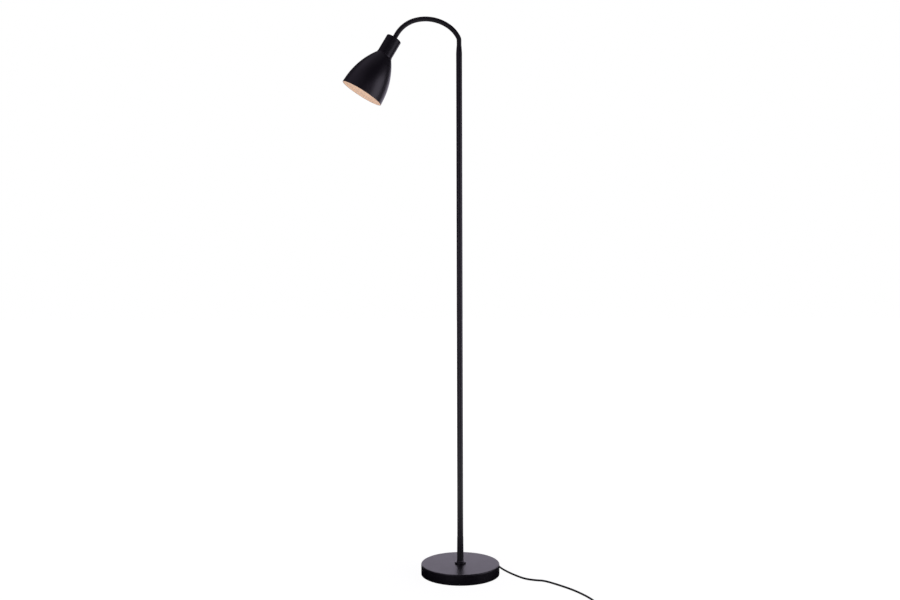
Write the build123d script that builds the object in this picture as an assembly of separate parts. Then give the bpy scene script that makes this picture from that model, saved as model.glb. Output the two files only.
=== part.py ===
from build123d import *

import math
import os

# Gooseneck reading floor lamp, in millimetres. The origin is the centre of the base's
# underside on the floor, +Z is up the pole, the neck and head lean towards -X, and +Y
# points to the lamp's rear, where the cord leaves the base.

# ---- base ---------------------------------------------------------------------------
base_radius = 105.0
base_height = 28.0
cover_sheet = 1.0
cover_edge_radius = 2.5
cover_floor_gap = 0.5
pad_thickness = 3.0
pad_margin = 13.0
plate_sheet = 1.5
weight_thickness = 15.0
weight_rim_width = 10.0
casting_gap = 0.3
nut_well_radius = 16.0
nut_seat = 5.0
plate_screw_count = 3
plate_screw_depth = 8.0

# ---- fasteners and fits -------------------------------------------------------------
thread_radius = 5.0
neck_thread_radius = 4.0
thread_clearance = 0.05
press_clearance = 0.03
washer_radius = 14.0
washer_thickness = 1.5
stem_nut_across_flats = 17.0
cup_nut_across_flats = 14.0
nut_thickness = 4.0
thread_run_out = 1.0
screw_radius = 1.5
screw_head_radius = 2.8
screw_head_height = 1.7

# ---- pole ---------------------------------------------------------------------------
pole_radius = 8.0
pole_wall = 1.0
pole_top = 1397.0
pole_section_count = 3
pole_edge_chamfer = 0.2
bush_length = 28.0
stud_length = 25.0
stud_bore_radius = 3.0
collar_flange_radius = 15.0
collar_flange_height = 4.0
collar_flange_fillet = 1.0
collar_foot_fillet = 4.0
collar_sleeve_height = 71.0
collar_sleeve_foot_radius = 8.9
collar_sleeve_top_radius = 8.35
collar_clearance = 0.05

# ---- gooseneck ----------------------------------------------------------------------
ferrule_height = 22.0
ferrule_top_radius = 6.6
ferrule_spigot = 15.0
ferrule_shoulder = 2.0
neck_radius = 6.5
neck_root_radius = 5.9
neck_bore_radius = 2.8
neck_rib_pitch = 2.4
neck_straight = 13.0
neck_rise_length = 10.7
neck_shoulder_length = 39.2
neck_crown_length = 91.8
neck_drop_length = 65.4
# length and turn in degrees of each stretch of the neck, from the ferrule to the head
neck_stretches = [
    (neck_straight, 0.0),
    (neck_rise_length, 28.2),
    (neck_shoulder_length, 27.0),
    (neck_crown_length, 48.3),
    (neck_drop_length, 45.7),
    (neck_straight, 0.0),
]
neck_pivot_count = 9
neck_end_length = 14.0
ball_radius = neck_radius
ball_clearance = 0.4
ball_collar = 2.4
ball_flare = 33.0
nipple_grip = 9.0

# ---- head ---------------------------------------------------------------------------
cup_radius = 21.3
cup_length = 54.0
cup_sheet = 1.0
cup_corner_radius = 3.5
shade_length = 118.0
shade_rim_radius = 59.6
shade_sheet = 0.8
shade_collar_length = 3.0
shade_collar_fillet = 3.0
shade_skirt_length = 16.0
shade_skirt_angle = 4.0
shade_bead_radius = 0.9
holder_radius = 14.0
holder_boss_radius = 8.0
holder_boss_length = 10.0
holder_flange_radius = 17.0
holder_flange_height = 3.0
holder_skirt_length = 10.0
holder_base_thickness = 22.5
holder_bore_radius = 8.4
shade_ring_radius = 18.0
shade_ring_height = 6.0
shade_ring_notches = 12
bulb_cap_radius = 7.0
bulb_cap_length = 22.0
bulb_seat = 2.6
bulb_body_length = 24.0
bulb_body_radius = 17.0
bulb_globe_radius = 22.5
bulb_length = 80.0
contact_sheet = 0.5

# ---- cord ---------------------------------------------------------------------------
cord_radius = 2.5
lead_radius = 2.1
lead_clearance = 0.05
lead_height = 8.6
lead_bend_radius = 5.0
boot_length = 22.0
boot_root_radius = 5.5
boot_tip_radius = 3.6
gland_hole_radius = 5.0
gland_flange_height = 2.0
clamp_distance = 60.0
clamp_width = 26.0
clamp_length = 10.0
clamp_wing = 2.0
clamp_under_lead = 1.4
coil_pitch = 5.5
coil_layer = 5.5
coil_mid_radius = 30.0
coil_turns_in = 3
coil_straight = 5.0
coil_clearance = 0.1
cord_to_coil_run = 10.0
cord_to_plug_run = 12.0
plug_distance = 45.0
tie_band = 0.6
tie_width = 6.0

# ---- foot switch and plug -----------------------------------------------------------
switch_centre_x = 198.0
switch_centre_y = -300.0
switch_length = 84.0
switch_width = 38.0
switch_corner_radius = 16.0
switch_split_height = 7.6
switch_height = 20.0
switch_wall = 2.0
switch_top_fillet = 4.0
button_radius = 11.2
button_clearance = 0.3
button_height = 24.0
button_flange = 1.8
button_flange_thickness = 1.6
button_travel = 3.0
spring_radius = 5.0
spring_wire_radius = 0.4
spring_curls = 4
plug_width = 35.3
plug_thickness = 13.7
plug_body_length = 35.0
plug_pin_radius = 2.0
plug_pin_length = 19.0
plug_pin_spacing = 18.6

# The floor cord's route from the base's boot to the foot switch, chosen by hand.
floor_route = [
    (0, 127, 8.6),
    (0, 147, 8.6),
    (12.5, 163.5, 6.5),
    (36, 169, 4),
    (60, 156, 2.5),
    (86, 136, 2.5),
    (97, 104, 2.5),
    (103, 70, 2.5),
    (111, 38, 2.5),
    (126, 7, 2.5),
    (144, -23, 2.5),
    (168, -55, 2.5),
    (196, -68, 2.5),
    (218, -71, 2.5),
    (248, -102, 2.5),
    (283, -144, 2.5),
    (309, -190, 2.5),
    (323, -226, 2.5),
    (328, -258, 2.5),
    (317, -286, 3.5),
    (290, -300, 7.6),
    (262, -300, 7.6),
]

# ---- levels and places that follow from the sizes -----------------------------------
plate_top = pad_thickness + plate_sheet
weight_top = base_height - cover_sheet
weight_ceiling = weight_top - weight_thickness
weight_radius = base_radius - cover_sheet - casting_gap
nut_well_top = weight_top - nut_seat
washer_bottom = nut_well_top - washer_thickness
stem_nut_bottom = washer_bottom - nut_thickness
stem_bottom = stem_nut_bottom - thread_run_out
stem_top = base_height + stud_length
pole_bore_radius = pole_radius - pole_wall
pole_insert_radius = pole_bore_radius - press_clearance
pole_section = (pole_top - base_height) / pole_section_count
neck_start = pole_top + ferrule_height
neck_length = sum(length for length, turn in neck_stretches)
cup_radius_inside = cup_radius - cup_sheet
shade_collar_bore = cup_radius + collar_clearance
shade_neck_radius = shade_collar_bore + shade_sheet
holder_top = cup_sheet + nut_thickness + thread_run_out
holder_body_top = holder_top + holder_boss_length
holder_end = cup_length + holder_skirt_length
bulb_start = holder_body_top + holder_base_thickness + bulb_seat
bulb_body_start = bulb_start + bulb_cap_length
coil_bottom = tie_band + coil_clearance
coil_start_height = coil_bottom + cord_radius
coil_half_turns = coil_turns_in + 0.25
coil_turns = 2 * coil_half_turns
coil_outer_radius = coil_mid_radius + coil_pitch * coil_half_turns / 2
coil_centre_x = 95.0
coil_centre_y = switch_centre_y - coil_outer_radius
plug_cord_height = plug_thickness / 2
plug_boot_start = coil_centre_x + plug_distance
plug_y = coil_centre_y - coil_outer_radius

os.makedirs("parts", exist_ok=True)
written = []


def keep(name, shape):
    """Writes one node's STEP file."""
    export_step(shape, f"parts/{name}.step")
    written.append(name)


# ---- shared shapes ------------------------------------------------------------------
def rod(radius, low, high):
    """A round bar on Z between two heights."""
    return Pos(0, 0, low) * Cylinder(radius, high - low, align=(Align.CENTER, Align.CENTER, Align.MIN))


def ring(outer, inner, low, high):
    """A round tube on Z between two heights."""
    return rod(outer, low, high) - rod(inner, low, high)


def hexagon(across_flats, low, high):
    """A hexagonal bar on Z between two heights."""
    outline = RegularPolygon(across_flats / 2, 6, major_radius=False)
    return Pos(0, 0, low) * extrude(outline, high - low)


def turned(*profile):
    """A solid of revolution about Z from its corner points (radius, height)."""
    return revolve(Plane.XZ * make_face(Polyline(*profile, close=True)), Axis.Z)


def panhead_screw(shank):
    """A pan-head screw on Z: its head below z = 0 and its shank above."""
    head = rod(screw_head_radius, -screw_head_height, 0)
    head = fillet(head.edges().group_by(Axis.Z)[0], screw_head_height * 0.45)
    return head + rod(screw_radius, 0, shank)


def boot(face_radius, tip_radius, length, neck_radius, neck, flange):
    """A tapered strain relief on Z: tip up, a neck through a wall and a flange behind it."""
    outside = turned(
        (0, 0), (face_radius, 0), (face_radius, gland_flange_height), (tip_radius, length), (0, length)
    )
    inside = rod(neck_radius, -neck, 0) + rod(face_radius, -neck - flange, -neck)
    return outside + inside


# ---- base ---------------------------------------------------------------------------
def make_base():
    # A drawn steel cover, open below, with holes for the stem and for the cord at the rear.
    cover = rod(base_radius, cover_floor_gap, base_height)
    cover = fillet(cover.edges().group_by(Axis.Z)[-1], cover_edge_radius)
    inside = rod(base_radius - cover_sheet, cover_floor_gap, weight_top)
    inside = fillet(inside.edges().group_by(Axis.Z)[-1], cover_edge_radius - cover_sheet)
    cover -= inside
    cover -= rod(thread_radius + casting_gap, weight_top, base_height)
    gland_plane = Plane(origin=(0, base_radius, lead_height), x_dir=(1, 0, 0), z_dir=(0, 1, 0))
    gland_depth = weight_rim_width + 2 * cover_sheet
    cover -= gland_plane * rod(gland_hole_radius, -gland_depth, gland_depth)
    keep("base_cover", cover)

    # The cast iron weight: a disc under the cover's top with a rim down to the bottom plate.
    weight = rod(weight_radius, plate_top, weight_top)
    weight = chamfer(weight.edges().group_by(Axis.Z)[-1], cover_edge_radius)
    weight -= rod(weight_radius - weight_rim_width, plate_top, weight_ceiling)
    weight -= rod(nut_well_radius, weight_ceiling, nut_well_top)
    weight -= rod(thread_radius + casting_gap, nut_well_top, weight_top)
    slot_width = 2 * (gland_flange_radius() + casting_gap)
    weight -= Pos(0, weight_radius, (plate_top + weight_slot_top()) / 2) * Box(
        slot_width, 4 * weight_rim_width, weight_slot_top() - plate_top
    )
    screw_circle = weight_radius - weight_rim_width / 2
    pilot = rod(screw_radius + thread_clearance, plate_top, plate_top + plate_screw_depth + thread_run_out)
    screw_places = PolarLocations(screw_circle, plate_screw_count, start_angle=30)
    weight -= screw_places * pilot
    clamp_screw_x = clamp_width / 2 - screw_head_radius - thread_run_out / 2
    clamp_places = Locations((-clamp_screw_x, clamp_distance, 0), (clamp_screw_x, clamp_distance, 0))
    clamp_pilot = rod(
        screw_radius + thread_clearance, weight_ceiling, weight_ceiling + plate_screw_depth + thread_run_out
    )
    weight -= clamp_places * clamp_pilot
    keep("base_weight", weight)

    # The bottom plate, its screws and the soft pad that the lamp stands on.
    plate = rod(weight_radius, pad_thickness, plate_top)
    plate -= screw_places * rod(screw_radius + casting_gap, pad_thickness, plate_top)
    keep("base_bottom_plate", plate)
    screw = panhead_screw(plate_sheet + plate_screw_depth)
    keep("bottom_plate_screws", Compound(children=[*(screw_places * (Pos(0, 0, pad_thickness) * screw))]))
    pad = rod(base_radius - pad_margin, 0, pad_thickness)
    pad = fillet(pad.edges().group_by(Axis.Z)[0], pad_thickness * 0.2)
    keep("base_pad", pad)

    # The hollow threaded stem that clamps pole, cover and weight together, with its nut.
    keep("stem_tube", ring(thread_radius, stud_bore_radius, stem_bottom, stem_top))
    keep("stem_washer", ring(washer_radius, thread_radius + casting_gap, washer_bottom, nut_well_top))
    nut = hexagon(stem_nut_across_flats, stem_nut_bottom, washer_bottom)
    keep("stem_nut", nut - rod(thread_radius + thread_clearance, stem_nut_bottom, washer_bottom))

    # The moulded gland and strain relief where the cord leaves the cover.
    gland = boot(
        boot_root_radius + thread_run_out,
        boot_tip_radius,
        boot_length,
        gland_hole_radius - thread_clearance,
        cover_sheet + 2 * casting_gap,
        gland_flange_height,
    )
    # its inner flange is flat underneath, clear of the bottom plate
    under = Pos(0, base_radius - cover_sheet, 0) * Box(
        slot_width,
        4 * weight_rim_width,
        plate_top + thread_clearance,
        align=(Align.CENTER, Align.MAX, Align.MIN),
    )
    keep("cord_gland", gland_plane * gland - under)

    # The saddle that grips the lead under the weight, with its two screws.
    saddle_bottom = lead_height - lead_radius - clamp_under_lead
    saddle = Pos(0, clamp_distance, saddle_bottom) * Box(
        clamp_width - 4 * (screw_head_radius + thread_run_out / 2),
        clamp_length,
        weight_ceiling - saddle_bottom,
        align=(Align.CENTER, Align.CENTER, Align.MIN),
    )
    saddle += Pos(0, clamp_distance, weight_ceiling - clamp_wing) * Box(
        clamp_width, clamp_length, clamp_wing, align=(Align.CENTER, Align.CENTER, Align.MIN)
    )
    lead_plane = Plane(origin=(0, 0, lead_height), x_dir=(1, 0, 0), z_dir=(0, 1, 0))
    saddle -= lead_plane * rod(lead_radius + lead_clearance, 0, base_radius)
    wing_hole = rod(screw_radius + thread_clearance, weight_ceiling - clamp_wing, weight_ceiling)
    saddle -= clamp_places * wing_hole
    keep("cord_clamp", saddle)
    clamp_screw = Pos(0, 0, weight_ceiling - clamp_wing) * panhead_screw(clamp_wing + plate_screw_depth)
    keep("cord_clamp_screws", Compound(children=[*(clamp_places * clamp_screw)]))


def gland_flange_radius():
    """The radius of the gland's flanges on both sides of the cover's wall."""
    return boot_root_radius + thread_run_out


def weight_slot_top():
    """The top of the slot in the weight's rim that the gland's inner flange stands in."""
    return lead_height + gland_flange_radius() + casting_gap


# ---- pole ---------------------------------------------------------------------------
def make_pole():
    section_names = ["pole_lower", "pole_middle", "pole_upper"]
    bushes = []
    studs = []
    for count, name in enumerate(section_names[:pole_section_count]):
        low = base_height + count * pole_section
        high = low + pole_section
        tube = rod(pole_radius, low, high)
        tube = chamfer(tube.edges().group_by(Axis.Z)[0] + tube.edges().group_by(Axis.Z)[-1], pole_edge_chamfer)
        keep(name, tube - rod(pole_bore_radius, low, high))
        bushes.append(ring(pole_insert_radius, thread_radius + thread_clearance, low, low + bush_length))
        if count < pole_section_count - 1:
            pressed = rod(pole_insert_radius, high - stud_length, high)
            stud = pressed + rod(thread_radius, high, high + stud_length)
            studs.append(stud - rod(stud_bore_radius, high - stud_length, high + stud_length))
    keep("pole_bushes", Compound(children=bushes))
    keep("pole_studs", Compound(children=studs))

    # The turned collar at the pole's foot: a flange on the cover and a slim tapered sleeve.
    flange_top = base_height + collar_flange_height
    sleeve_top = base_height + collar_sleeve_height
    collar = turned(
        (0, base_height),
        (collar_flange_radius, base_height),
        (collar_flange_radius, flange_top),
        (collar_sleeve_foot_radius, flange_top),
        (collar_sleeve_top_radius, sleeve_top),
        (0, sleeve_top),
    )
    rim = collar.edges().filter_by(GeomType.CIRCLE).group_by(SortBy.RADIUS)[-1].group_by(Axis.Z)[-1]
    collar = fillet(rim, collar_flange_fillet)
    circles = collar.edges().filter_by(GeomType.CIRCLE)
    level = circles.filter_by(lambda edge: abs(edge.center().Z - flange_top) < press_clearance)
    collar = fillet(level.sort_by(SortBy.RADIUS)[0], collar_foot_fillet)
    keep("pole_foot_collar", collar - rod(pole_radius + collar_clearance, base_height, sleeve_top))

    # The turned ferrule on the pole's top, tapered from the pole to the neck.
    ferrule = turned(
        (0, pole_top - ferrule_spigot),
        (pole_insert_radius, pole_top - ferrule_spigot),
        (pole_insert_radius, pole_top),
        (pole_radius, pole_top),
        (pole_radius, pole_top + ferrule_shoulder),
        (ferrule_top_radius, neck_start),
        (0, neck_start),
    )
    ferrule -= rod(neck_thread_radius + thread_clearance, pole_top - ferrule_spigot, neck_start)
    keep("neck_ferrule", ferrule)

    # The supply lead inside: through the clamp, round under the stem and up the pole.
    start = (0, base_radius - cover_sheet - 2 * casting_gap - gland_flange_height, lead_height)
    corner = (0, 0, lead_height)
    lead_line = FilletPolyline(start, corner, (0, 0, neck_start), radius=lead_bend_radius)
    section = Plane(origin=start, z_dir=(0, -1, 0)) * Circle(lead_radius)
    keep("supply_lead", sweep(section, path=lead_line))


# ---- gooseneck ----------------------------------------------------------------------
def neck_plane(distance):
    """The plane square to the neck's centreline, its X along +Y, at a distance from the ferrule."""
    x = 0.0
    z = neck_start
    lean = 0.0
    left = distance
    for length, turn in neck_stretches:
        step = min(left, length)
        bend = math.radians(turn) * step / length
        chord = step * math.sin(bend / 2) / (bend / 2) if bend else step
        x -= chord * math.sin(lean + bend / 2)
        z += chord * math.cos(lean + bend / 2)
        lean += bend
        left -= step
        if left <= 0:
            break
    x -= left * math.sin(lean)
    z += left * math.cos(lean)
    return Plane(origin=(x, 0, z), x_dir=(0, 1, 0), z_dir=(-math.sin(lean), 0, math.cos(lean)))


def neck_pivots():
    """Distances along the neck of its pivots."""
    spacing = (neck_length - 2 * neck_end_length) / (neck_pivot_count - 1)
    return [neck_end_length + count * spacing for count in range(neck_pivot_count)]


def neck_link(start, end, has_cup, has_ball):
    """One ribbed link of the neck: a cup at its start and a ball at its end, where it has them."""
    cup_radius_here = ball_radius + ball_clearance
    cup_depth = math.sqrt(cup_radius_here**2 - neck_root_radius**2)
    low = start + (cup_depth if has_cup else 0)
    high = end - (ball_collar if has_ball else 0)
    ribs = max(1, round((high - low) / neck_rib_pitch))
    pitch = (high - low) / ribs
    circles = [(start, neck_radius)]
    for count in range(ribs):
        groove = low + count * pitch
        circles.append((groove + pitch * 0.2, neck_radius))
        circles.append((groove + pitch * 0.4, neck_root_radius))
        circles.append((groove + pitch * 0.6, neck_root_radius))
        circles.append((groove + pitch * 0.8, neck_radius))
    circles.append((end, neck_radius))
    link = loft([neck_plane(place) * Circle(radius) for place, radius in circles], ruled=True)
    if has_ball:
        link += neck_plane(end) * Sphere(ball_radius, arc_size1=0)
    if has_cup:
        link -= neck_plane(start) * Sphere(cup_radius_here)
    steps = round((end - start) / neck_rib_pitch)
    rounds = [
        neck_plane(start + (end - start) * count / steps) * Circle(neck_bore_radius)
        for count in range(steps + 1)
    ]
    bore = loft(rounds, ruled=True)
    if has_ball:
        mouth_radius = neck_bore_radius + ball_radius * math.tan(math.radians(ball_flare))
        bore += neck_plane(end) * Cone(
            neck_bore_radius, mouth_radius, ball_radius, align=(Align.CENTER, Align.CENTER, Align.MIN)
        )
    link -= bore
    return link


def make_neck():
    ends = [0.0, *neck_pivots(), neck_length]
    link_count = len(ends) - 1
    for count in range(link_count):
        first = count == 0
        last = count == link_count - 1
        link = neck_link(ends[count], ends[count + 1], not first, not last)
        if first:
            link -= neck_plane(0) * rod(neck_thread_radius + thread_clearance, 0, nipple_grip)
        if last:
            link -= neck_plane(neck_length) * rod(neck_thread_radius + thread_clearance, -nipple_grip, 0)
        keep(f"gooseneck_link_{count + 1}", link)

    # Threaded nipples join the neck to the ferrule and to the head.
    keep(
        "neck_root_nipple",
        ring(neck_thread_radius, neck_bore_radius, neck_start - ferrule_spigot, neck_start + nipple_grip),
    )
    nipple_end = holder_body_top - thread_run_out
    nipple = rod(neck_thread_radius, -nipple_grip, 0) + rod(thread_radius, 0, nipple_end)
    keep("neck_end_nipple", neck_plane(neck_length) * (nipple - rod(neck_bore_radius, -nipple_grip, nipple_end)))

    # The supply lead goes on through the neck into the lampholder.
    steps = [0.0]
    for length, turn in neck_stretches:
        steps.append(steps[-1] + length)
    line = []
    for (length, turn), low in zip(neck_stretches, steps):
        first_point = neck_plane(low).origin
        last_point = neck_plane(low + length).origin
        if turn:
            line.append(ThreePointArc(first_point, neck_plane(low + length / 2).origin, last_point))
        else:
            line.append(Line(first_point, last_point))
    line.append(Line(neck_plane(neck_length).origin, neck_plane(neck_length + holder_body_top).origin))
    keep("neck_lead", sweep(neck_plane(0) * Circle(lead_radius), path=Wire(line)))

    print("neck length", round(neck_length, 1), "turn", sum(turn for length, turn in neck_stretches))
    for count, place in enumerate(neck_pivots()):
        plane = neck_plane(place)
        across = (0, -1, 0) if count % 2 == 0 else tuple(plane.y_dir)
        print("pivot", count + 1, *[round(v, 4) for v in plane.origin], *[round(v, 6) for v in across])
    head = neck_plane(neck_length)
    print("head", *[round(v, 4) for v in head.origin], *[round(v, 6) for v in head.z_dir])


# ---- head: everything below stands on the neck's end, local Z along the shade's axis --
def shade_outline(wall):
    """The bell's outline, drawn in by a wall: a straight skirt and one arc that meets it smoothly."""
    slope = math.radians(shade_skirt_angle)
    skirt_top = (
        shade_length - shade_skirt_length,
        shade_rim_radius - shade_skirt_length * math.tan(slope),
    )
    chord_run = skirt_top[0]
    chord_rise = skirt_top[1] - shade_neck_radius
    chord = math.hypot(chord_run, chord_rise)
    arc_radius = chord / (2 * math.sin(math.atan2(chord_rise, chord_run) - slope))
    centre = (
        skirt_top[0] + arc_radius * math.sin(slope),
        skirt_top[1] - arc_radius * math.cos(slope),
    )
    inner_radius = arc_radius - wall

    def on_arc(angle):
        return (
            centre[1] + inner_radius * math.cos(angle),
            cup_length + centre[0] - inner_radius * math.sin(angle),
        )

    neck_angle = math.asin((centre[0] - wall) / inner_radius)
    neck_point = on_arc(neck_angle)
    middle_point = on_arc((neck_angle + slope) / 2)
    skirt_point = on_arc(slope)
    rim_point = (
        shade_rim_radius - wall / math.cos(slope),
        cup_length + shade_length,
    )
    return neck_point, middle_point, skirt_point, rim_point


def bell(wall):
    """The solid inside the bell's outline, drawn in by a wall."""
    neck_point, middle_point, skirt_point, rim_point = shade_outline(wall)
    outline = Curve() + [
        Line((0, neck_point[1]), neck_point),
        ThreePointArc(neck_point, middle_point, skirt_point),
        Line(skirt_point, rim_point),
        Line(rim_point, (0, rim_point[1])),
        Line((0, rim_point[1]), (0, neck_point[1])),
    ]
    return revolve(Plane.XZ * make_face(outline), Axis.Z)


def make_head():
    head = neck_plane(neck_length)

    # The drawn cup over the lampholder, clamped at its top between the neck and a nut.
    cup = rod(cup_radius, 0, cup_length)
    cup = fillet(cup.edges().group_by(Axis.Z)[0], cup_corner_radius)
    inside = rod(cup_radius_inside, cup_sheet, cup_length)
    inside = fillet(inside.edges().group_by(Axis.Z)[0], cup_corner_radius - cup_sheet)
    cup -= inside
    cup -= rod(thread_radius + casting_gap, 0, cup_sheet)
    keep("socket_cup", head * cup)
    nut_end = cup_sheet + nut_thickness
    nut = hexagon(cup_nut_across_flats, cup_sheet, nut_end)
    keep("cup_nut", head * (nut - rod(thread_radius + thread_clearance, cup_sheet, nut_end)))

    # The moulded lampholder, with a brass screw shell and a centre contact inside.
    flange_top = cup_length - holder_flange_height
    holder = rod(holder_boss_radius, holder_top, holder_body_top)
    holder += rod(holder_radius, holder_body_top, holder_end)
    holder += rod(holder_flange_radius, flange_top, cup_length)
    cavity_top = holder_body_top + holder_base_thickness
    holder -= rod(holder_bore_radius, cavity_top, holder_end)
    holder -= rod(thread_radius + thread_clearance, holder_top, holder_body_top)
    keep("lampholder_body", head * holder)
    shell_low = cavity_top + bulb_seat
    shell_high = holder_end - thread_run_out
    shell_outer = holder_bore_radius - thread_clearance
    shell = ring(shell_outer, shell_outer - contact_sheet, cavity_top, shell_high)
    shell += ring(shell_outer, bulb_cap_radius + thread_clearance, shell_low + bulb_seat, shell_high - bulb_seat)
    keep("lampholder_screw_shell", head * shell)
    contact = rod(bulb_cap_radius / 2, cavity_top, cavity_top + contact_sheet)
    contact += rod(bulb_cap_radius / 4, cavity_top, bulb_start)
    keep("lampholder_centre_contact", head * contact)

    # The spun steel shade, with a short collar round the cup's end and a beaded rim.
    collar_low = cup_length - shade_collar_length
    shade = bell(0) + rod(shade_neck_radius, collar_low, cup_length)
    circles = shade.edges().filter_by(GeomType.CIRCLE)
    junctions = circles.filter_by(lambda edge: abs(edge.center().Z - cup_length) < casting_gap)
    shade = fillet(junctions.sort_by(SortBy.RADIUS)[-1], shade_collar_fillet)
    shade -= rod(shade_collar_bore, collar_low, cup_length)
    shade -= bell(shade_sheet)
    hole = holder_radius + casting_gap
    shade -= rod(hole, cup_length, cup_length + shade_sheet)
    bead_height = cup_length + shade_length - shade_bead_radius
    bead_place = shade_rim_radius - shade_bead_radius
    bead = revolve(Plane.XZ * Pos(bead_place, bead_height) * Circle(shade_bead_radius), Axis.Z)
    shade += bead
    keep("shade", head * shade)
    ring_low = cup_length + shade_sheet
    shade_ring = ring(
        shade_ring_radius, holder_radius + thread_clearance, ring_low, ring_low + shade_ring_height
    )
    notch = Pos(0, 0, ring_low + shade_ring_height / 2) * Box(
        shade_ring_height / 2, shade_ring_height / 3, shade_ring_height
    )
    notch_places = PolarLocations(shade_ring_radius, shade_ring_notches)
    shade_ring -= notch_places * notch
    keep("shade_ring", head * shade_ring)

    # The bulb: screw cap, plastic body and opal globe.
    cap = rod(bulb_cap_radius, bulb_start, bulb_body_start)
    cap = chamfer(cap.edges().group_by(Axis.Z)[0], bulb_cap_radius * 0.3)
    keep("bulb_cap", head * cap)
    body_end = bulb_body_start + bulb_body_length
    body = turned(
        (0, bulb_body_start),
        (bulb_cap_radius + thread_run_out, bulb_body_start),
        (bulb_body_radius, body_end),
        (0, body_end),
    )
    keep("bulb_body", head * body)
    globe_centre = bulb_start + bulb_length - bulb_globe_radius
    globe = Pos(0, 0, globe_centre) * Sphere(bulb_globe_radius)
    globe &= rod(bulb_globe_radius + thread_run_out, body_end, bulb_start + bulb_length + thread_run_out)
    keep("bulb_globe", head * globe)


# ---- cord ---------------------------------------------------------------------------
def route_wire(points, name):
    """Straight runs joined by tangent arcs as large as the runs allow, with the radii printed."""
    places = [Vector(*point) for point in points]
    radii = []
    for before, here, after in zip(places, places[1:], places[2:]):
        turn = math.radians((here - before).get_angle(after - here))
        run = min((here - before).length, (after - here).length)
        radii.append(0.45 * run / math.tan(turn / 2))
    print(name, "radii", [round(radius, 1) for radius in radii])
    return FilletPolyline(*places, radius=radii)


def tube(points, name):
    """A round cord along a route of straight runs and arcs."""
    line = route_wire(points, name)
    start = Vector(*points[0])
    section = Plane(origin=start, z_dir=Vector(*points[1]) - start) * Circle(cord_radius)
    solid = sweep(section, path=line)
    share = solid.volume / (math.pi * cord_radius**2 * line.length)
    print(name, "length", round(line.length, 1), "volume by section and length", round(share, 5))
    return solid


def biarc(start, start_way, end, end_way):
    """Two arcs that leave start and reach end in the given unit directions."""
    gap = end - start
    both = start_way + end_way
    spread = 2 * (1 - start_way.dot(end_way))
    if spread < 1e-9:
        reach = gap.dot(gap) / (2 * gap.dot(both))
    else:
        reach = (math.sqrt(gap.dot(both) ** 2 + spread * gap.dot(gap)) - gap.dot(both)) / spread
    first = start + start_way * reach
    second = end - end_way * reach
    joint = (first + second) / 2
    return [
        TangentArc(start, joint, tangent=start_way),
        TangentArc(joint, end, tangent=second - first),
    ]


def coil_place(turns):
    """The coil's centreline after so many turns, and its direction there."""
    inward = turns <= coil_half_turns
    wound = turns if inward else coil_turns - turns
    radius = coil_outer_radius - coil_pitch * wound
    climb = min(1.0, max(0.0, (turns - coil_turns_in) / 0.5))
    angle = math.radians(90 + 360 * turns)
    outwards = Vector(math.cos(angle), math.sin(angle), 0)
    along = Vector(-math.sin(angle), math.cos(angle), 0)
    place = Vector(coil_centre_x, coil_centre_y, coil_start_height + coil_layer * climb) + outwards * radius
    way = along * (2 * math.pi * radius)
    if turns not in (0, coil_half_turns, coil_turns):
        way += outwards * (-coil_pitch if inward else coil_pitch)
    if 0 < climb < 1:
        way += Vector(0, 0, coil_layer / 0.5)
    return place, way.normalized()


def make_coil():
    """The put-away length, wound inwards, up a layer and out again, with short straight ends."""
    quarters = round(coil_turns * 4)
    places = [coil_place(count / 4) for count in range(quarters + 1)]
    start, start_way = places[0]
    end, end_way = places[-1]
    lead_in = start - start_way * coil_straight
    lead_out = end + end_way * coil_straight
    line = [Line(lead_in, start)]
    for (here, way), (there, next_way) in zip(places, places[1:]):
        line.extend(biarc(here, way, there, next_way))
    line.append(Line(end, lead_out))
    path = Wire(line)
    section = Plane(origin=lead_in, z_dir=start_way) * Circle(cord_radius)
    solid = sweep(section, path=path)
    share = solid.volume / (math.pi * cord_radius**2 * path.length)
    print("coil length", round(path.length, 1), "volume by section and length", round(share, 5))

    # the least gap between turns, measured on points along the centreline
    count = 900
    dots = [path.position_at(step / count) for step in range(count + 1)]
    apart = round(2 * coil_pitch * count / path.length) + 1
    least = min(
        (dots[here] - dots[there]).length
        for here in range(count + 1)
        for there in range(here + apart, count + 1)
    )
    print("coil least gap to itself", round(least - 2 * cord_radius, 3))
    return solid, lead_in, lead_out


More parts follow.
